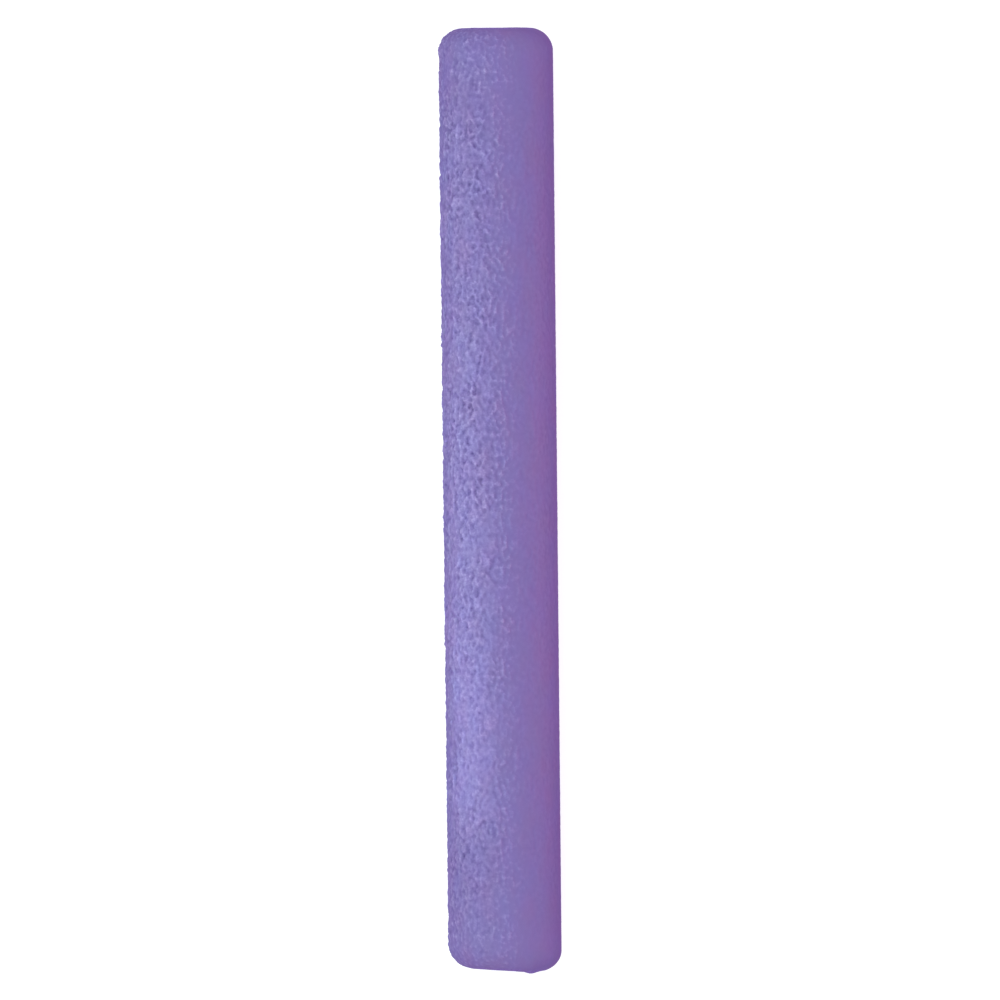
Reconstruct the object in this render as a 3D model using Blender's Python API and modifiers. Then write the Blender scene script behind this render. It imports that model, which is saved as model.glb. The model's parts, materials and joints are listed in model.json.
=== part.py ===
"""A foam pool noodle: one thick tube of closed-cell foam, lying on the floor.

Run it with: blender --background --python part.py
Units are metres and +Z is up. The noodle lies along X, with its head end at -X and its tail end at +X.
The origin is on the floor, under the middle of the noodle.
"""

import math

import bpy

# The foam tube. The length is from the head end to the furthest point of the tail end.
NOODLE_LENGTH = 1.200
NOODLE_DIAMETER = 0.144
CORE_HOLE_DIAMETER = 0.042

# Its ends. The outer rim is well rounded over, and the mouth of the core hole is just eased.
# The head end is cut square. The cut at the tail end leans, so the noodle is longer on its +Y side.
RIM_RADIUS = 0.030
MOUTH_RADIUS = 0.004
TAIL_CUT_ANGLE = math.radians(4.1)

# The foam settles a little where it lies on the floor.
RESTING_FLAT_DEPTH = 0.0005

# A rounding takes at most this share of the foam's wall, so each end keeps a flat ring.
RIM_WALL_SHARE = 0.7
MOUTH_WALL_SHARE = 0.2

# Facets round the tube, and along each rounding.
SECTORS = 96
RIM_STEPS = 10
MOUTH_STEPS = 4

# How far a cutter runs past what it cuts, and how close two points are to count as one.
CUTTER_OVERRUN = 0.020
WELD_DISTANCE = 0.00001

# The foam's look.
FOAM_COLOUR = (0.230, 0.155, 0.440, 1.0)
FOAM_ROUGHNESS = 0.62
SMOOTH_ANGLE = math.radians(30)

# Sizes that follow from the ones above.
OUTER_RADIUS = NOODLE_DIAMETER / 2
HOLE_RADIUS = CORE_HOLE_DIAMETER / 2
FOAM_WALL = OUTER_RADIUS - HOLE_RADIUS
RIM = min(RIM_RADIUS, FOAM_WALL * RIM_WALL_SHARE)
MOUTH = min(MOUTH_RADIUS, FOAM_WALL * MOUTH_WALL_SHARE)
AXIS_HEIGHT = OUTER_RADIUS - RESTING_FLAT_DEPTH
CUT_SLOPE = math.tan(TAIL_CUT_ANGLE)
HEAD_FACE = -NOODLE_LENGTH / 2
TAIL_FACE = NOODLE_LENGTH / 2 - CUT_SLOPE * (OUTER_RADIUS - RIM)


def clear_scene():
    """Empty the file that the script was started in."""
    for old in list(bpy.data.objects):
        bpy.data.objects.remove(old)


def new_collection(name):
    """A collection in the scene."""
    collection = bpy.data.collections.new(name)
    bpy.context.scene.collection.children.link(collection)
    return collection


def foam_material():
    """Purple closed-cell foam with a satin skin."""
    material = bpy.data.materials.new("purple_foam")
    material.use_nodes = True
    shader = material.node_tree.nodes["Principled BSDF"]
    shader.inputs["Base Color"].default_value = FOAM_COLOUR
    shader.inputs["Roughness"].default_value = FOAM_ROUGHNESS
    shader.inputs["Metallic"].default_value = 0.0
    return material


def arc(centre, radius, start, end, steps):
    """Points on an arc, as (place along the noodle, distance from its axis)."""
    along, out = centre
    angles = [start + (end - start) * step / steps for step in range(steps + 1)]
    return [(along + radius * math.cos(a), out + radius * math.sin(a)) for a in angles]


def wall_section():
    """The closed outline of the foam wall, cut along the noodle's axis.

    It starts in the hole at the head end, goes out over the head's rim, along
    the outside, over the tail's rim and back into the hole.
    """
    half_turn, quarter = math.pi, math.pi / 2
    hole_corner = HOLE_RADIUS + MOUTH
    rim_corner = OUTER_RADIUS - RIM
    head_mouth = arc((HEAD_FACE + MOUTH, hole_corner), MOUTH, half_turn + quarter, half_turn, MOUTH_STEPS)
    head_rim = arc((HEAD_FACE + RIM, rim_corner), RIM, half_turn, quarter, RIM_STEPS)
    tail_rim = arc((TAIL_FACE - RIM, rim_corner), RIM, quarter, 0.0, RIM_STEPS)
    tail_mouth = arc((TAIL_FACE - MOUTH, hole_corner), MOUTH, 0.0, -quarter, MOUTH_STEPS)
    return head_mouth + head_rim + tail_rim + tail_mouth


def turned_mesh(section):
    """The section turned once round the noodle's axis, as a plain mesh."""
    count = len(section)
    outline = bpy.data.meshes.new("wall_section")
    points = [(along, 0.0, out) for along, out in section]
    edges = [(i, (i + 1) % count) for i in range(count)]
    outline.from_pydata(points, edges, [])
    turned = bpy.data.objects.new("wall_section", outline)
    bpy.context.scene.collection.objects.link(turned)

    screw = turned.modifiers.new("turn", "SCREW")
    screw.axis = "X"
    screw.angle = 2 * math.pi
    screw.steps = SECTORS
    screw.render_steps = SECTORS
    screw.use_merge_vertices = True
    screw.merge_threshold = WELD_DISTANCE

    bpy.context.view_layer.update()
    graph = bpy.context.evaluated_depsgraph_get()
    mesh = bpy.data.meshes.new_from_object(turned.evaluated_get(graph))
    bpy.data.objects.remove(turned)
    return mesh


def lean_tail_cut(mesh):
    """Lean the tail end as the saw left it. Its points slide along the noodle, so the sides stay straight."""
    for vertex in mesh.vertices:
        if vertex.co.x > 0:
            vertex.co.x += CUT_SLOPE * vertex.co.y


def floor_block(collection):
    """A block with its top face on the floor, which cuts the resting flat."""
    bpy.ops.mesh.primitive_cube_add(size=1.0)
    block = bpy.context.object
    block.name = "floor_block"
    length = NOODLE_LENGTH + 2 * CUTTER_OVERRUN
    width = NOODLE_DIAMETER + 2 * CUTTER_OVERRUN
    block.scale = (length, width, CUTTER_OVERRUN)
    block.location = (0, 0, -CUTTER_OVERRUN / 2)
    bpy.ops.object.transform_apply(location=False, rotation=False, scale=True)
    for holder in list(block.users_collection):
        holder.objects.unlink(block)
    collection.objects.link(block)
    block.hide_render = True
    block.display_type = "WIRE"
    return block


def foam_tube(collection, floor):
    """The noodle's one piece: the turned tube, cut at a lean at the tail and flat where it rests."""
    mesh = turned_mesh(wall_section())
    mesh.name = "foam_tube"
    lean_tail_cut(mesh)
    mesh.shade_smooth()
    mesh.set_sharp_from_angle(angle=SMOOTH_ANGLE)
    mesh.materials.append(foam_material())
    tube = bpy.data.objects.new("foam_tube", mesh)
    tube.location = (0, 0, AXIS_HEIGHT)
    collection.objects.link(tube)
    settle = tube.modifiers.new("resting_flat", "BOOLEAN")
    settle.operation = "DIFFERENCE"
    settle.object = floor
    return tube


def main():
    clear_scene()
    noodle = new_collection("pool_noodle")
    cutters = new_collection("cutters")
    foam_tube(noodle, floor_block(cutters))


main()
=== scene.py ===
# %% [markdown]
# # A foam pool noodle, seen from straight above
#
# The real object is one thick tube of closed-cell foam. A machine extrudes it, a saw cuts it
# to length, and its ends are rounded. So there is a single piece to make here, and all of its
# looks are in three things: a skin pebbled by the foam's cells, a purple that drifts a little
# from place to place, and end faces where the saw has opened the cells.
#
# The construction model gives the noodle's size and place. This script loads it first, and
# takes every large size from it.

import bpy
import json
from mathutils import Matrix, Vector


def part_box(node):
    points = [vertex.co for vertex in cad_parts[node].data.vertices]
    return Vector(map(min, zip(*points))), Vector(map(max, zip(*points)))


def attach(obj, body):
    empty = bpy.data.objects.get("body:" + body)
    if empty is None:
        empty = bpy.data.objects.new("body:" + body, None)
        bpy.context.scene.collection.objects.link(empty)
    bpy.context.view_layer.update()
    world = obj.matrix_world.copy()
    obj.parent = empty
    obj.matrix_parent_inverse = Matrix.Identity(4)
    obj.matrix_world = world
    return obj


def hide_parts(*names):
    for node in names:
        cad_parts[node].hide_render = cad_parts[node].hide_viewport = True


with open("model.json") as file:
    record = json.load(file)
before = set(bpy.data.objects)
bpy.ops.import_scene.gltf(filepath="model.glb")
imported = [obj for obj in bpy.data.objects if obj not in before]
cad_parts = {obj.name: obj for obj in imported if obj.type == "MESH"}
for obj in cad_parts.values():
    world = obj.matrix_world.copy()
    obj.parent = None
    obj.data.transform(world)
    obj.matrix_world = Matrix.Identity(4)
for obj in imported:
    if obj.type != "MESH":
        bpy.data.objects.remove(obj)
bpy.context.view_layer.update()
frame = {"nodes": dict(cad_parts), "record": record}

# %% [markdown]
# ## The sizes that the noodle already has
#
# The plain solid could be copied by typing its sizes again, but then a change there would
# leave this script behind. It is safer to measure it. Its box gives the length, the diameter
# and the depth of the flat that it rests on. The distance of its corners from the noodle's
# axis gives the core hole and the two roundings, and the lean of the tail cut is in the
# direction that its end face points in.

# %% Measure the plain solid
import math

import bpy
import numpy as np
from mathutils import Matrix, Vector

TUBE = "foam_tube"
MILLIMETRE = 0.001
MEASURING_SLACK = 0.02 * MILLIMETRE

low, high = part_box(TUBE)
length = high.x - low.x
diameter = high.y - low.y
resting_flat = diameter - (high.z - low.z)
axis_height = diameter / 2 - resting_flat

corners = np.array([vertex.co for vertex in frame["nodes"][TUBE].data.vertices])
from_axis = np.hypot(corners[:, 1], corners[:, 2] - axis_height)
on_head_face = from_axis[corners[:, 0] < low.x + MEASURING_SLACK]
hole_radius = float(from_axis.min())
mouth_radius = float(on_head_face.min()) - hole_radius
rim_radius = diameter / 2 - float(on_head_face.max())

mounts = {mount["name"]: mount for mount in frame["record"]["mounts"]}
tail_direction = mounts["tail_end_face"]["axis"]
cut_slope = -tail_direction[1] / tail_direction[0]

measured = {
    "length": length,
    "diameter": diameter,
    "resting flat": resting_flat,
    "core hole's radius": hole_radius,
    "mouth's rounding": mouth_radius,
    "rim's rounding": rim_radius,
}
for name, metres in measured.items():
    print(f"{name}: {metres / MILLIMETRE:.2f} mm")
print(f"tail cut leans {math.degrees(math.atan(cut_slope)):.2f} degrees")

# %% [markdown]
# ## Formulas that become nodes
#
# Both the shape and the finish are node trees, and both hold a lot of arithmetic. Adding each
# Math node by hand hides the formula. This small class wraps an output socket and takes part
# in sums: writing `a * b + 1` adds the nodes for it. Every other node comes from one method,
# which sets the node's settings first and then fills its sockets with values or wires.

# %% A socket that can be written in a formula
class Wire:
    """An output socket of a node. Arithmetic with it adds Math nodes to the same tree."""

    def __init__(self, socket):
        self.socket = socket

    @classmethod
    def node(cls, tree, kind, settings=None, values=None, output=0):
        """Add a node of any kind: its settings first, then its sockets' values or wires."""
        node = tree.nodes.new(kind)
        for name, value in (settings or {}).items():
            setattr(node, name, value)
        for name, value in (values or {}).items():
            if isinstance(value, cls):
                tree.links.new(value.socket, node.inputs[name])
            else:
                node.inputs[name].default_value = value
        return cls(node.outputs[output])

    def beside(self, output):
        """Another output of the same node."""
        return Wire(self.socket.node.outputs[output])

    def math(self, operation, *others):
        """A Math node on this wire and the others."""
        values = dict(enumerate((self, *others)))
        return Wire.node(self.socket.id_data, "ShaderNodeMath", {"operation": operation}, values)

    def swapped(self, operation, first):
        """A Math node with this wire in second place."""
        values = {0: first, 1: self}
        return Wire.node(self.socket.id_data, "ShaderNodeMath", {"operation": operation}, values)

    def __add__(self, other):
        return self.math("ADD", other)

    def __sub__(self, other):
        return self.math("SUBTRACT", other)

    def __mul__(self, other):
        return self.math("MULTIPLY", other)

    def __truediv__(self, other):
        return self.math("DIVIDE", other)

    def __pow__(self, other):
        return self.math("POWER", other)

    def __gt__(self, other):
        return self.math("GREATER_THAN", other)

    def __lt__(self, other):
        return self.math("LESS_THAN", other)

    def __radd__(self, other):
        return self.swapped("ADD", other)

    def __rsub__(self, other):
        return self.swapped("SUBTRACT", other)

    def __rmul__(self, other):
        return self.swapped("MULTIPLY", other)

    def __rtruediv__(self, other):
        return self.swapped("DIVIDE", other)

    def ramp(self, start, end, smooth=True):
        """0 up to start, 1 from end on, and an even or a smooth rise between them."""
        kind = "SMOOTHSTEP" if smooth else "LINEAR"
        values = {"Value": self, "From Min": start, "From Max": end}
        settings = {"interpolation_type": kind}
        return Wire.node(self.socket.id_data, "ShaderNodeMapRange", settings, values)


def split(vector):
    """The three numbers of a vector, as wires."""
    x = Wire.node(vector.socket.id_data, "ShaderNodeSeparateXYZ", values={0: vector})
    return x, x.beside(1), x.beside(2)


def join(tree, x, y, z):
    """A vector made of three wires or numbers."""
    return Wire.node(tree, "ShaderNodeCombineXYZ", values={0: x, 1: y, 2: z})


def vector_math(operation, first, second, output=0):
    """A Vector Math node on a wire and a second wire or fixed vector."""
    settings, values = {"operation": operation}, {0: first, 1: second}
    return Wire.node(first.socket.id_data, "ShaderNodeVectorMath", settings, values, output)


def noise(place, size, detail=0.0, stretch=1.0):
    """Smooth random values from 0 to 1, with lumps about this large, drawn out along the noodle."""
    tree = place.socket.id_data
    drawn = vector_math("DIVIDE", place, join(tree, size * stretch, size, size))
    return Wire.node(tree, "ShaderNodeTexNoise", values={"Vector": drawn, "Scale": 1.0, "Detail": detail})


print("Wire is ready: sums, comparisons and ramps add their own nodes")

# %% [markdown]
# ## The noodle's shape as a rule
#
# The shape follows a rule, so Geometry Nodes can build it from a few named inputs: a rounded
# rectangle, which is the foam's wall cut along the noodle, is swept once round the axis. The
# other way would be a profile with a Screw modifier, as the plain solid has. The nodes win
# here because the pebbles, the lean of the cut and the flat underneath are worked out in the
# same tree, on each of the mesh's points.

# %% Start the tree with its named inputs
foam_tree = bpy.data.node_groups.new("foam_noodle", "GeometryNodeTree")
foam_tree.interface.new_socket(name="Noodle", in_out="OUTPUT", socket_type="NodeSocketGeometry")

SECTORS = 336
SKIN_SPACING = 0.0021
END_SPACING = 0.0011
HOLE_SPACING = 0.060
RIM_STEPS = 22
MOUTH_STEPS = 4
TAPER = 0.009
PEBBLE_SIZE = 0.0052
PEBBLE_STRETCH = 1.2
PEBBLE_HEIGHT = 0.0015
SAW_SIZE = 0.005
SAW_HEIGHT = 0.0004
BURR_HEIGHT = 0.0019
BURR_WIDTH = 0.014
BURR_PLACE = 0.032
STEP_DEPTH = 0.0020
SEED = 7

foam_inputs = {
    "Length": float(length),
    "Diameter": float(diameter),
    "Hole diameter": 2 * hole_radius,
    "Rim radius": rim_radius,
    "Mouth radius": mouth_radius,
    "Cut slope": float(cut_slope),
    "Axis height": float(axis_height),
    "Taper": TAPER,
    "Sectors": SECTORS,
    "Rim steps": RIM_STEPS,
    "Mouth steps": MOUTH_STEPS,
    "Skin spacing": SKIN_SPACING,
    "End spacing": END_SPACING,
    "Hole spacing": HOLE_SPACING,
    "Pebble size": PEBBLE_SIZE,
    "Pebble stretch": PEBBLE_STRETCH,
    "Pebble height": PEBBLE_HEIGHT,
    "Saw mark size": SAW_SIZE,
    "Saw mark height": SAW_HEIGHT,
    "Burr height": BURR_HEIGHT,
    "Burr width": BURR_WIDTH,
    "Burr place": BURR_PLACE,
    "Step depth": STEP_DEPTH,
    "Seed": SEED,
}
for name, value in foam_inputs.items():
    kind = "NodeSocketInt" if isinstance(value, int) else "NodeSocketFloat"
    socket = foam_tree.interface.new_socket(name=name, in_out="INPUT", socket_type=kind)
    socket.default_value = value
print(len(foam_inputs), "named inputs")

# %% [markdown]
# ## The wall's section
#
# A rectangle as long as the noodle and as thick as its wall gets its four corners filleted:
# the two outer ones by the rim's radius, the two at the core hole by the mouth's. Then each
# straight side is divided by its own spacing. The skin and the cut faces need close points to
# carry their relief. The hole is dark and straight inside, so long faces do.

# %% Draw the section and divide its sides
given_node = foam_tree.nodes.new("NodeGroupInput")
given = {name: Wire(given_node.outputs[name]) for name in foam_inputs}


def geo(kind, values=None, settings=None, output=0):
    """A node of the noodle's own tree."""
    return Wire.node(foam_tree, kind, settings, values, output)


outer = given["Diameter"] / 2
hole = given["Hole diameter"] / 2
wall = outer - hole
body = given["Length"] - given["Cut slope"] * (outer - given["Rim radius"])

rectangle = geo("GeometryNodeCurvePrimitiveQuadrilateral", {"Width": wall, "Height": body})
here = geo("GeometryNodeInputPosition")
is_outside = split(here)[0] > 0.0


def by_side(inside, outside):
    """One value at the hole's corners and another at the outer ones."""
    return inside + (outside - inside) * is_outside


section = geo(
    "GeometryNodeFilletCurve",
    {
        "Curve": rectangle,
        "Count": by_side(given["Mouth steps"], given["Rim steps"]),
        "Radius": by_side(given["Mouth radius"], given["Rim radius"]),
        "Limit Radius": True,
    },
    {"mode": "POLY"},
)

# Both ends of a stretch on the skin are at 1, and in the hole at -1.
SIDE_SHARE = 0.999

on_curve = {"component": "CURVE"}
point_count = geo("GeometryNodeAttributeDomainSize", {"Geometry": section}, on_curve, "Point Count")
next_point = (geo("GeometryNodeInputIndex") + 1).math("MODULO", point_count)
there = geo(
    "GeometryNodeFieldAtIndex",
    {"Index": next_point, "Value": here},
    {"data_type": "FLOAT_VECTOR", "domain": "POINT"},
)
stretch_length = vector_math("DISTANCE", here, there, "Value")
side = (split(here)[0] + split(there)[0]) / wall
spacing = (
    given["End spacing"]
    + (given["Skin spacing"] - given["End spacing"]) * (side > SIDE_SHARE)
    + (given["Hole spacing"] - given["End spacing"]) * (side < -SIDE_SHARE)
)
cuts = (stretch_length / spacing).math("ROUND") - 1
divided = geo("GeometryNodeSubdivideCurve", {"Curve": section, "Cuts": cuts.math("MAXIMUM", 0.0)})

# %% [markdown]
# ## Round the axis, and the saw's lean
#
# The section is swept along a circle through the middle of the wall. That circle lies flat,
# so its axis is turned to run along the noodle. The tail cut leans: each point slides along
# the noodle by an amount that grows from nothing at the middle to the full lean at the tail,
# so the sides and the core hole stay straight. The noodle is also half a millimetre thinner
# at its tail than at its head, as the photograph shows.

# %% Sweep the section and lean the tail
middle_of_wall = (outer + hole) / 2
round_it = {"Resolution": given["Sectors"], "Radius": middle_of_wall}
circle = geo("GeometryNodeCurvePrimitiveCircle", round_it)
swept = geo("GeometryNodeCurveToMesh", {"Curve": circle, "Profile Curve": divided})

swept_y, swept_z, swept_x = split(here)
head_end = given["Length"] / -2.0
along = swept_x + body / 2 + head_end
narrowing = 1 - given["Taper"] * along
tail_straight = head_end + body - given["Rim radius"]
leaned = along + given["Cut slope"] * swept_y * along.ramp(0.0, tail_straight, smooth=False)
tube_place = join(foam_tree, leaned, swept_y * narrowing, swept_z * narrowing)
plain_tube = geo("GeometryNodeSetPosition", {"Geometry": swept, "Position": tube_place})

# %% [markdown]
# ## Pebbles
#
# Foam cells that swell and collapse at the skin leave it crinkled: rounded pebbles about five
# millimetres wide with dents between them, drawn out a little along the noodle because the
# foam was pulled from the die. Two smooth noises make them, a coarse one and a finer one that
# breaks it up and isn't drawn out. There are calmer patches here and there, and the tail's half
# is a little calmer than the head's. Real displacement of the points is used, not only a bump,
# because the pebbles show in the noodle's outline.
#
# In the photograph the pebbles are plain on the side that is lit, with deep dents, and almost
# pressed out on the other. Between the two, and near the two ends, the dents are gone and only
# the tops of the pebbles are left, as crumbs. So there are two forms of the net, and the second
# takes over from -Y to +Y and towards the ends. The photograph shows only the upper half, and
# towards the underside the pebbles come back.

# %% Work out the height of the skin
FINE_SIZE_SHARE = 0.5
FINE_STRETCH = 0.9
FINE_HEIGHT_SHARE = 0.42
FOLD_SHARE = 0.1
USUAL_FOLD = 0.55
LUMP_CONTRAST = 4.0
PATCH_SIZE = 0.022
PATCH_STRETCH = 1.6
PATCH_START, PATCH_END = 0.35, 0.6
CALM_SHARE = 0.6
DENT_LEVEL, DENT_GAIN = 0.1, 0.2
CRUMB_LEVEL, CRUMB_GAIN = 0.09, 1.05
PRESSED_START, PRESSED_END = -0.5, 0.2
PRESSED_SHARE = 0.87
GONE_START, GONE_END = 0.0, 0.42
GONE_SHARE = 0.95
WORN_START, WORN_END = 0.03, 0.18
WORN_SHARE = 0.6
UNDER_START, UNDER_END = -0.6, 0.4
UNDER_SHIFT = 1.1
QUIET_START, QUIET_END = 0.05, 0.28
QUIET_SHARE = 0.17
SEED_SIDEWAYS = 2.0


def lumps(place, size, stretch):
    """Rounded lumps about this large, between -1 and 1, with a trace of sharper dents."""
    round_lumps = (noise(place, size, stretch=stretch) - 0.5) * LUMP_CONTRAST
    folded = 1 - round_lumps.math("ABSOLUTE")
    return round_lumps * (1 - FOLD_SHARE) + (folded - USUAL_FOLD) * FOLD_SHARE


def pressed_side(y, z, radius):
    """From -1 on the side that is lit to 1 on the other, and down again towards the underside."""
    return y / radius - (1 - (z / radius).ramp(UNDER_START, UNDER_END)) * UNDER_SHIFT


def quieter(x):
    """1 on the head's half of the noodle, and a little less towards the tail."""
    return 1 - x.ramp(QUIET_START, QUIET_END) * QUIET_SHARE


def pebble_net(place, size, stretch, side, from_end):
    """The skin's height, at a side from -1 to 1 and at a distance from the nearest end."""
    fine = lumps(place, size * FINE_SIZE_SHARE, FINE_STRETCH)
    even_net = lumps(place, size, stretch) + fine * FINE_HEIGHT_SHARE
    patches = noise(place, PATCH_SIZE, detail=1.0, stretch=PATCH_STRETCH).ramp(PATCH_START, PATCH_END)
    net = even_net * (CALM_SHARE + (1 - CALM_SHARE) * patches)
    dents = (net + DENT_LEVEL).math("MINIMUM", 0.0) * DENT_GAIN
    crumbs = (net - CRUMB_LEVEL).math("MAXIMUM", 0.0) * CRUMB_GAIN
    unpressed = 1 - side.ramp(PRESSED_START, PRESSED_END) * PRESSED_SHARE
    unworn = 1 - (1 - from_end.ramp(WORN_START, WORN_END)) * WORN_SHARE
    untouched = unpressed * unworn
    left_over = 1 - side.ramp(GONE_START, GONE_END) * GONE_SHARE
    return (net + dents) * untouched + crumbs * (1 - untouched) * left_over


place = geo("GeometryNodeInputPosition")
place_x, place_y, place_z = split(place)
from_end = given["Length"] / 2 - place_x.math("ABSOLUTE")
seed_shift = join(foam_tree, given["Seed"], given["Seed"] * SEED_SIDEWAYS, 0.0)
seeded = vector_math("ADD", place, seed_shift)
radius_here = (place_y ** 2.0 + place_z ** 2.0).math("SQRT")
on_skin = radius_here.ramp(outer - given["Rim radius"], outer)
side_here = pressed_side(place_y, place_z, outer)
net_here = pebble_net(seeded, given["Pebble size"], given["Pebble stretch"], side_here, from_end)
pebbles = net_here * on_skin * quieter(place_x)

# %% [markdown]
# ## The sawn ends
#
# The saw opens the foam's cells, so the flat rings at the two ends are rougher than the skin
# and a little uneven. A point is on a cut face where its normal points along the noodle. That
# share is stored too, because the finish needs it: cut foam is paler and has no skin. The saw
# drags at the foam, so its marks are drawn out along its way. At the tail end it also left a
# burr, which shows in the photograph as a bulge of two millimetres on the lower edge, and past
# the burr the cut steps back by as much.

# %% Roughen the cut faces and shape the tail
CUT_START, CUT_END = 0.90, 0.99
SAW_DRAG = 5.0
BURR_FALL = -4.0
STEP_START, STEP_END = 0.034, 0.048

normal = geo("GeometryNodeInputNormal")
facing_along = split(normal)[0].math("ABSOLUTE")
is_cut = facing_along.ramp(CUT_START, CUT_END) * (radius_here > hole)
dragged = vector_math("DIVIDE", seeded, join(foam_tree, 1.0, SAW_DRAG, 1.0))
saw_marks = lumps(dragged, given["Saw mark size"], 1.0) * is_cut
squared_distance = (place_y - given["Burr place"]) ** 2.0 + place_z ** 2.0
from_burr = squared_distance / (given["Burr width"] ** 2.0)
burr = (from_burr * BURR_FALL).math("EXPONENT") * given["Burr height"]
step = place_y.ramp(STEP_START, STEP_END) * given["Step depth"]
on_tail = (place_x > 0.0) * facing_along.ramp(0.0, CUT_END)
height = (
    pebbles * given["Pebble height"]
    + saw_marks * given["Saw mark height"]
    + (burr - step) * on_tail
)


def stored(geometry, name, value):
    """The same geometry with a number kept on each of its points."""
    return geo(
        "GeometryNodeStoreNamedAttribute",
        {"Geometry": geometry, "Name": name, "Value": value},
        {"data_type": "FLOAT", "domain": "POINT"},
    )


marked = stored(stored(plain_tube, "pebble", pebbles), "cut", is_cut)
lift = vector_math("MULTIPLY", normal, join(foam_tree, height, height, height))
raised = geo("GeometryNodeSetPosition", {"Geometry": marked, "Offset": lift})

# %% [markdown]
# ## On the floor
#
# So far the noodle's axis is at the origin. It is lifted to its height, and whatever would be
# under the floor is pressed flat onto it, which is the narrow strip that the plain solid has
# as well. Then the tree ends: shading is smooth, instances become real, and the foam's
# material is set, although its nodes are only filled in later.

# %% Rest on the floor, and end the tree
rest_x, rest_y, rest_z = split(geo("GeometryNodeInputPosition"))
above_floor = (rest_z + given["Axis height"]).math("MAXIMUM", 0.0)
resting_place = join(foam_tree, rest_x, rest_y, above_floor)
rested = geo("GeometryNodeSetPosition", {"Geometry": raised, "Position": resting_place})

foam = bpy.data.materials.new("purple_foam")
foam.use_nodes = True
smooth = geo("GeometryNodeSetShadeSmooth", {"Geometry": rested})
real = geo("GeometryNodeRealizeInstances", {"Geometry": smooth})
dressed = geo("GeometryNodeSetMaterial", {"Geometry": real, "Material": foam})
foam_tree.links.new(dressed.socket, foam_tree.nodes.new("NodeGroupOutput").inputs["Noodle"])
print(len(foam_tree.nodes), "nodes make the noodle")

# %% [markdown]
# ## From the tree to a plain mesh
#
# A modifier runs the tree. Its inputs are set by their identifiers before anything asks for
# the result, then the result is copied into a mesh and the modifier goes. A plain mesh can't
# change by itself afterwards, and the exported model needs one.

# %% Turn the tree's result into a plain mesh
noodle = bpy.data.objects.new("pebbled_foam", bpy.data.meshes.new("pebbled_foam"))
bpy.context.scene.collection.objects.link(noodle)
maker = noodle.modifiers.new("foam_noodle", "NODES")
maker.node_group = foam_tree
for item in foam_tree.interface.items_tree:
    if item.in_out == "INPUT":
        maker[item.identifier] = foam_inputs[item.name]

graph = bpy.context.evaluated_depsgraph_get()
skin = bpy.data.meshes.new_from_object(noodle.evaluated_get(graph))
noodle.modifiers.remove(maker)
noodle.data = skin
skin.calc_loop_triangles()
print("the noodle has", len(skin.loop_triangles), "triangles")

# %% [markdown]
# ## Is it a sound solid?
#
# Three things could be wrong without showing from one side: a seam left open, faces that look
# inward, and pebbles of the wrong depth. Each edge must have two faces, the volume that the
# faces enclose must be positive and near that of the plain tube, and the stored heights give
# the pebbles' spread.

# %% Check the mesh
import bmesh

LITRE = 0.001

check = bmesh.new()
check.from_mesh(skin)
open_edges = sum(len(edge.link_faces) != 2 for edge in check.edges)
litres = check.calc_volume(signed=True) / LITRE
check.free()
plain_litres = math.pi * ((diameter / 2) ** 2 - hole_radius**2) * length / LITRE
stored_heights = np.array([item.value for item in skin.attributes["pebble"].data])
print(f"open edges: {open_edges}, volume {litres:.2f} litres, a plain tube has {plain_litres:.2f}")
usual_height = stored_heights.std() * PEBBLE_HEIGHT
print(f"pebbles: {usual_height / MILLIMETRE:.2f} mm is their usual height")
assert open_edges == 0 and 0 < litres < plain_litres

# %% [markdown]
# ## Where a point of the finish is
#
# The finish reads Object coordinates, so the pattern stays on the foam whatever the camera
# does. They are moved to the noodle's axis, and shifted by the same seed as the shape, so the
# painted shade of each dent falls exactly on the dent that the shape has there.

# %% Read the place and the masks
tree = foam.node_tree
shader = tree.nodes["Principled BSDF"]
half = float(diameter / 2)

object_place = Wire.node(tree, "ShaderNodeTexCoord", output="Object")
foam_place = vector_math("SUBTRACT", object_place, (0.0, 0.0, float(axis_height)))
foam_x, foam_y, foam_z = split(foam_place)
seeded_place = vector_math("ADD", foam_place, (float(SEED), SEED_SIDEWAYS * SEED, 0.0))
foam_radius = (foam_y ** 2.0 + foam_z ** 2.0).math("SQRT")
skin_mask = foam_radius.ramp(half - rim_radius, half)
cut_mask = Wire.node(tree, "ShaderNodeAttribute", {"attribute_name": "cut"}, output="Fac")
end_distance = float(length / 2) - foam_x.math("ABSOLUTE")
foam_side = pressed_side(foam_y, foam_z, half)
net_everywhere = pebble_net(seeded_place, PEBBLE_SIZE, PEBBLE_STRETCH, foam_side, end_distance)
net = net_everywhere * skin_mask * quieter(foam_x)
print("masks for the skin and the cut faces are ready")

# %% [markdown]
# ## The skin's colour
#
# The foam's dye goes right through it, but its skin isn't one flat purple. The pebbles' shading
# is painted into the colour along the same net as the shape: painted light on the tops of the
# pebbles and painted shade in the dents. The dye also drifts: patches of two or three centimetres
# are a little bluer or redder. Each effect is a power that multiplies the base colour, with its own
# share for red, green and blue, so that the three can be read apart and added up in one exponent.

# %% Mix the skin's colour
FOAM_COLOUR = (0.184, 0.128, 0.368)
PAINTED_RELIEF_SHADING = 0.42
PAINTED_SHADING_SHARES = (1.0, 1.2, 0.68)
DRIFT_SIZE = 0.024
DRIFT_STRETCH = 1.8
RED_DRIFT = (0.16, -0.12, -0.02)
BLUE_DRIFT = (-0.10, 0.03, 0.16)
DRIFT_APART = 3.0

red_patches = noise(seeded_place, DRIFT_SIZE, detail=1.0, stretch=DRIFT_STRETCH) - 0.5
elsewhere = vector_math("ADD", seeded_place, (DRIFT_APART, 0.0, 0.0))
blue_patches = noise(elsewhere, DRIFT_SIZE, detail=1.0, stretch=DRIFT_STRETCH) - 0.5


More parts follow.
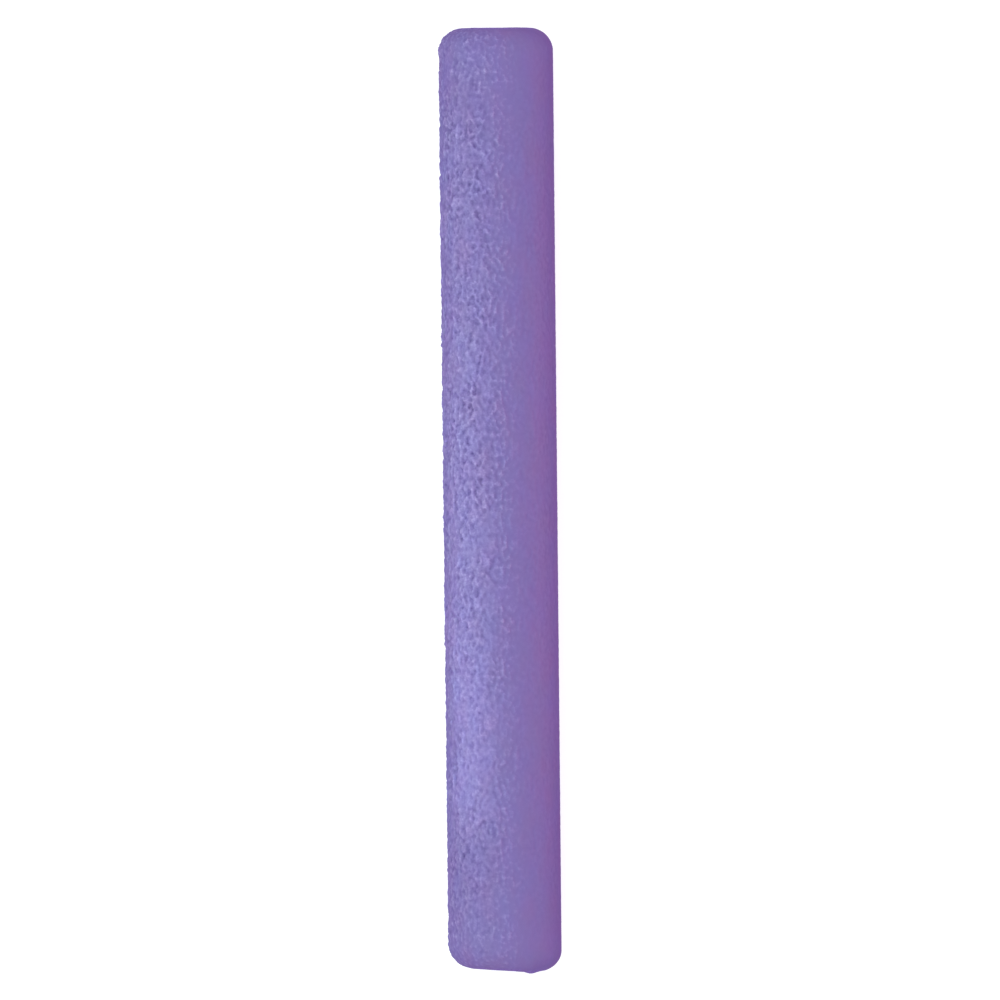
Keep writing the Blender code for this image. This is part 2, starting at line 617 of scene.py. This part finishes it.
def dyed_and_shaded(colour):
    """This colour with painted light on the pebbles, painted shade in their dents, and the dye's drift.
    """
    channels = []
    for base, share, red, blue in zip(colour, PAINTED_SHADING_SHARES, RED_DRIFT, BLUE_DRIFT):
        # painted light on the pebbles' tops and painted shade in the dents, then the dye's random drift
        exponent = net * (PAINTED_RELIEF_SHADING * share) + red_patches * red + blue_patches * blue
        channels.append(base * exponent.math("EXPONENT"))
    return join(tree, *channels)


skin_colour = dyed_and_shaded(FOAM_COLOUR)
print("the skin's colour is", FOAM_COLOUR, "before tint and drift")

# %% [markdown]
# ## The cut faces' colour
#
# Where the saw went through, every cell is open. The cut foam is paler and chalky. On top of
# that its walls get a painted highlight, as if they caught the light, and each cell between them
# gets a painted shade of its own depth, as a little pit. A Voronoi pattern gives both: its
# distance to an edge draws the walls, and its colour is another random number in each cell.
# Cells in such foam are between one and two millimetres across.

# %% Colour the cut faces and join the two
CELL_SIZE = 0.0019
WALL_START, WALL_END = 0.03, 0.16
CUT_WALL_PALE_AND_LIT = 1.55
CELL_PAINTED_SHADE = 0.85
CELL_SHADE_SPREAD = 0.5


def mixed(share, first, second):
    """A colour between two others. A Mix node's colour sockets are its seventh and eighth."""
    values = {0: share, 6: first, 7: second}
    return Wire.node(share.socket.id_data, "ShaderNodeMix", {"data_type": "RGBA"}, values, 2)


cell_place = {"Vector": seeded_place, "Scale": 1 / CELL_SIZE}
to_edge = {"feature": "DISTANCE_TO_EDGE"}
from_wall = Wire.node(tree, "ShaderNodeTexVoronoi", to_edge, cell_place, "Distance")
cell_chance = split(Wire.node(tree, "ShaderNodeTexVoronoi", {}, cell_place, "Color"))[0]
cell_walls = 1 - from_wall.ramp(WALL_START, WALL_END)
# painted shade in the open cells and a painted highlight on their walls, over the cut foam's own paler
# tone
painted_cell_shade = CELL_PAINTED_SHADE + CELL_SHADE_SPREAD * cell_chance
cut_tone_and_painted_shade = painted_cell_shade + (CUT_WALL_PALE_AND_LIT - painted_cell_shade) * cell_walls
cut_colour = vector_math("MULTIPLY", skin_colour, join(tree, cut_tone_and_painted_shade, cut_tone_and_painted_shade, cut_tone_and_painted_shade))
foam_colour = mixed(cut_mask, skin_colour, cut_colour)
tree.links.new(foam_colour.socket, shader.inputs["Base Color"])

# %% [markdown]
# ## Satin on the skin, none on the cuts
#
# The skin has a soft satin shine, and the cut faces have none. The shine is the shader's coat:
# its weight may vary from place to place in the exported model, which the plain specular level
# may not, so that one is off everywhere. Seen at a low angle the crinkles hide the shine behind
# each other, and it fades. The base under it is rougher in the dents than on the pebbles.

# %% Set the gloss
COAT = 1.0
COAT_ROUGHNESS = 0.55
FADE_BLEND = 0.5
FADE_START, FADE_END = 0.2, 0.7
FADE = 0.75
SKIN_ROUGHNESS = 0.62
NET_ROUGHNESS = 0.08
CUT_ROUGHNESS = 0.95

facing = Wire.node(tree, "ShaderNodeLayerWeight", values={"Blend": FADE_BLEND}, output="Facing")
coat = COAT * (1 - facing.ramp(FADE_START, FADE_END) * FADE) * (1 - cut_mask)
roughness = (SKIN_ROUGHNESS - net * NET_ROUGHNESS) * (1 - cut_mask) + cut_mask * CUT_ROUGHNESS
tree.links.new(coat.socket, shader.inputs["Coat Weight"])
tree.links.new(roughness.socket, shader.inputs["Roughness"])
shader.inputs["Coat Roughness"].default_value = COAT_ROUGHNESS
shader.inputs["Specular IOR Level"].default_value = 0.0
print("the coat's roughness is", COAT_ROUGHNESS)

# %% [markdown]
# ## Relief too fine for the mesh
#
# The mesh has a point every one or two millimetres, which carries the pebbles. What is finer
# goes into a bump: the sharper part of the pebbles' own net, the fine crinkle of single cells
# on the skin, and the open cells on the cut faces. All heights are in millimetres, and the
# bump's distance turns them into metres.

# %% Add the fine bump
NET_BUMP = 0.22
CRINKLE_SIZE = 0.0012
CRINKLE_BUMP = 0.14
CELL_BUMP = 0.35

crinkle = noise(seeded_place, CRINKLE_SIZE, detail=1.0) - 0.5
skin_relief = net * NET_BUMP + crinkle * CRINKLE_BUMP
relief = skin_relief * (1 - cut_mask) + cell_walls * cut_mask * CELL_BUMP
bump = Wire.node(tree, "ShaderNodeBump", values={"Distance": MILLIMETRE, "Height": relief})
tree.links.new(bump.socket, shader.inputs["Normal"])
print(len(tree.nodes), "nodes make the finish")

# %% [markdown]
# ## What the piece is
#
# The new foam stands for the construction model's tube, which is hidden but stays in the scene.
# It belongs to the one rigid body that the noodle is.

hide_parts(TUBE)
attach(noodle, "root")
print("pebbled_foam replaces", TUBE)

# %% [markdown]
# ## The camera
#
# The photograph looks square onto the noodle's side. Its ends are straight lines in it, which
# only a camera far away sees: from nearby, the top of each end face would bulge past its sides.
# So the camera is far off with a long lens. The noodle lies on the floor here, so the camera
# hangs above it, with the tail end towards the bottom of the picture. The noodle leans half a
# degree in the picture and is less than a millimetre off its middle. A turn and a small shift
# of the camera follow that.

# %% Place the camera
CAMERA_HEIGHT = 60.0
LENS = 1698.6
FAR_CLIP = 200.0
PHOTO_LEAN = math.radians(0.586)
PHOTO_SHIFT_X, PHOTO_SHIFT_Y = -0.0006, 0.0004

camera = bpy.data.objects.new("camera", bpy.data.cameras.new("camera"))
bpy.context.scene.collection.objects.link(camera)
camera.data.lens = LENS
camera.data.clip_end = FAR_CLIP
camera.data.shift_x = PHOTO_SHIFT_X
camera.data.shift_y = PHOTO_SHIFT_Y
right = Vector((math.sin(PHOTO_LEAN), math.cos(PHOTO_LEAN), 0.0))
up = Vector((-math.cos(PHOTO_LEAN), math.sin(PHOTO_LEAN), 0.0))
back = Vector((0.0, 0.0, 1.0))
camera.matrix_world = Matrix((right, up, back)).transposed().to_4x4()
camera.location = (0.0, 0.0, CAMERA_HEIGHT)
bpy.context.scene.camera = camera
print(f"camera {CAMERA_HEIGHT} m up, lens {LENS} mm, turned {math.degrees(PHOTO_LEAN):.2f} degrees")

# %% [markdown]
# ## A white floor under a white sky
#
# The photograph's background is pure white right up to the foam, as on a light table. A floor
# that only reflects would be grey in the noodle's shadow, so this one also glows a little. Such
# a glow would wash out the noodle from below, so only the camera sees the floor. What lights
# the noodle from below is the room's own colour there. On the right it is pinkish near the
# horizon, because the photograph's right edge is dark and magenta, and lavender further down.
# The sky that the camera sees is white.

# %% Lay the floor and fill the room with light
FLOOR_HALF = 20.0
FLOOR_ALBEDO = 0.55
FLOOR_GLOW = 0.68
FLOOR_ROUGHNESS = 0.9
SKY_COLOUR = (0.875, 0.835, 0.905, 1.0)
LEFT_BOUNCE = (1.0, 1.0, 1.0, 1.0)
RIGHT_BOUNCE = (1.0, 0.46, 0.70, 1.0)
RIGHT_LOW = (0.74, 0.56, 0.80, 1.0)
LOW_END, LOW_START = -0.75, -0.15
HORIZON_BLUR = 0.2
SIDE_BLUR = 0.4
WHITE = (1.0, 1.0, 1.0, 1.0)

floor_mesh = bpy.data.meshes.new("floor")
floor_corners = [(x * FLOOR_HALF, y * FLOOR_HALF, 0.0) for x, y in ((-1, -1), (1, -1), (1, 1), (-1, 1))]
floor_mesh.from_pydata(floor_corners, [], [(0, 1, 2, 3)])
floor = bpy.data.objects.new("floor", floor_mesh)
bpy.context.scene.collection.objects.link(floor)
pale = bpy.data.materials.new("pale_floor")
pale.use_nodes = True
pale_shader = pale.node_tree.nodes["Principled BSDF"]
pale_values = {
    "Base Color": (FLOOR_ALBEDO, FLOOR_ALBEDO, FLOOR_ALBEDO, 1.0),
    "Roughness": FLOOR_ROUGHNESS,
    "Specular IOR Level": 0.0,
    "Emission Color": WHITE,
    "Emission Strength": FLOOR_GLOW,
}
for name, value in pale_values.items():
    pale_shader.inputs[name].default_value = value
floor_mesh.materials.append(pale)
floor.visible_diffuse = False
floor.visible_glossy = False

world = bpy.data.worlds.new("studio")
bpy.context.scene.world = world
world.use_nodes = True
room = world.node_tree
direction = Wire.node(room, "ShaderNodeTexCoord", output="Generated")
_, across, upward = split(direction)
is_above = upward.ramp(-HORIZON_BLUR, HORIZON_BLUR)
is_right = across.ramp(-SIDE_BLUR, SIDE_BLUR)
right_bounce = mixed(upward.ramp(LOW_END, LOW_START), RIGHT_LOW, RIGHT_BOUNCE)
bounce = mixed(is_right, LEFT_BOUNCE, right_bounce)
is_seen = Wire.node(room, "ShaderNodeLightPath", output="Is Camera Ray")
room_light = mixed(is_seen, mixed(is_above, bounce, SKY_COLOUR), WHITE)
room.links.new(room_light.socket, room.nodes["Background"].inputs["Color"])
print("floor reflects", FLOOR_ALBEDO, "and glows", FLOOR_GLOW)

# %% [markdown]
# ## The large soft lights
#
# A panel high on the left makes the noodle round. A fill from the left keeps that edge as pale
# as in the photograph, and a weak red one from the right keeps the far side from going blue.

# %% Hang the panel and the fills
def area_light(name, power, colour, place, aim, width, height, spread=180):
    """A soft light of this size that points at a place. The camera doesn't see it."""
    lamp = bpy.data.lights.new(name, "AREA")
    lamp.shape = "RECTANGLE"
    lamp.size, lamp.size_y = width, height
    lamp.energy = power
    lamp.color = colour
    lamp.spread = math.radians(spread)
    holder = bpy.data.objects.new(name, lamp)
    bpy.context.scene.collection.objects.link(holder)
    holder.location = place
    holder.visible_camera = False
    holder.rotation_euler = (Vector(aim) - Vector(place)).to_track_quat("-Z", "Y").to_euler()
    return holder


TOP_POWER = 93.0
TOP_COLOUR = (0.66, 1.0, 0.93)
TOP_SIDE = -1.8
TOP_SIZE = 6.0
TOP_HEIGHT = 4.0
LEFT_POWER = 3.1
LEFT_COLOUR = (0.61, 1.0, 0.61)
RIGHT_POWER = 1.65
RIGHT_COLOUR = (1.0, 0.0, 0.2)
FILL_SIDE = 1.2
FILL_HEIGHT = 0.25
FILL_LENGTH, FILL_WIDTH = 0.8, 0.4

area_light("top", TOP_POWER, TOP_COLOUR, (0, TOP_SIDE, TOP_HEIGHT), (0, 0, 0), TOP_SIZE, TOP_SIZE)
for name, power, colour, place_y in (
    ("left_fill", LEFT_POWER, LEFT_COLOUR, -FILL_SIDE),
    ("right_fill", RIGHT_POWER, RIGHT_COLOUR, FILL_SIDE),
):
    area_light(name, power, colour, (0, place_y, FILL_HEIGHT), (0, 0, 0), FILL_LENGTH, FILL_WIDTH)

# %% [markdown]
# ## The bank of strips on the left
#
# The satin light on the left half of the noodle rises slowly from the head end and stops short
# of the tail. A row of strip lights on an arc round the axis does that: each adds its shine at
# its own angle, all of them end at the same place, and they start at different ones. They only
# add shine, so the colour under it stays as the panel leaves it.

# %% Hang the strips
KEY_POWER = 0.061
KEY_COLOUR = (0.67, 0.82, 1.0)
KEY_FIRST = 40
KEY_STEP = 6
KEY_DISTANCE = 0.9
KEY_WIDTH = 0.09
KEY_SPREAD = 8
KEY_END = 0.42
KEY_LENGTHS = (0.90, 0.44, 0.74, 0.26, 0.89, 0.60, 0.30, 0.92)

for i, strip in enumerate(KEY_LENGTHS):
    angle = math.radians(KEY_FIRST + i * KEY_STEP)
    middle = KEY_END - strip / 2
    spot = (middle, -KEY_DISTANCE * math.sin(angle), axis_height + KEY_DISTANCE * math.cos(angle))
    aim = (middle, 0, axis_height)
    lamp = area_light(f"key_{i}", KEY_POWER * strip, KEY_COLOUR, spot, aim, strip, KEY_WIDTH, KEY_SPREAD)
    lamp.visible_diffuse = False
print(len(KEY_LENGTHS), "strips over", KEY_STEP * (len(KEY_LENGTHS) - 1), "degrees")

# %% [markdown]
# ## The view transform
#
# Standard keeps the white of the floor and the purple as they are measured.

# %% Set the view transform
import json

bpy.context.scene.view_settings.view_transform = "Standard"
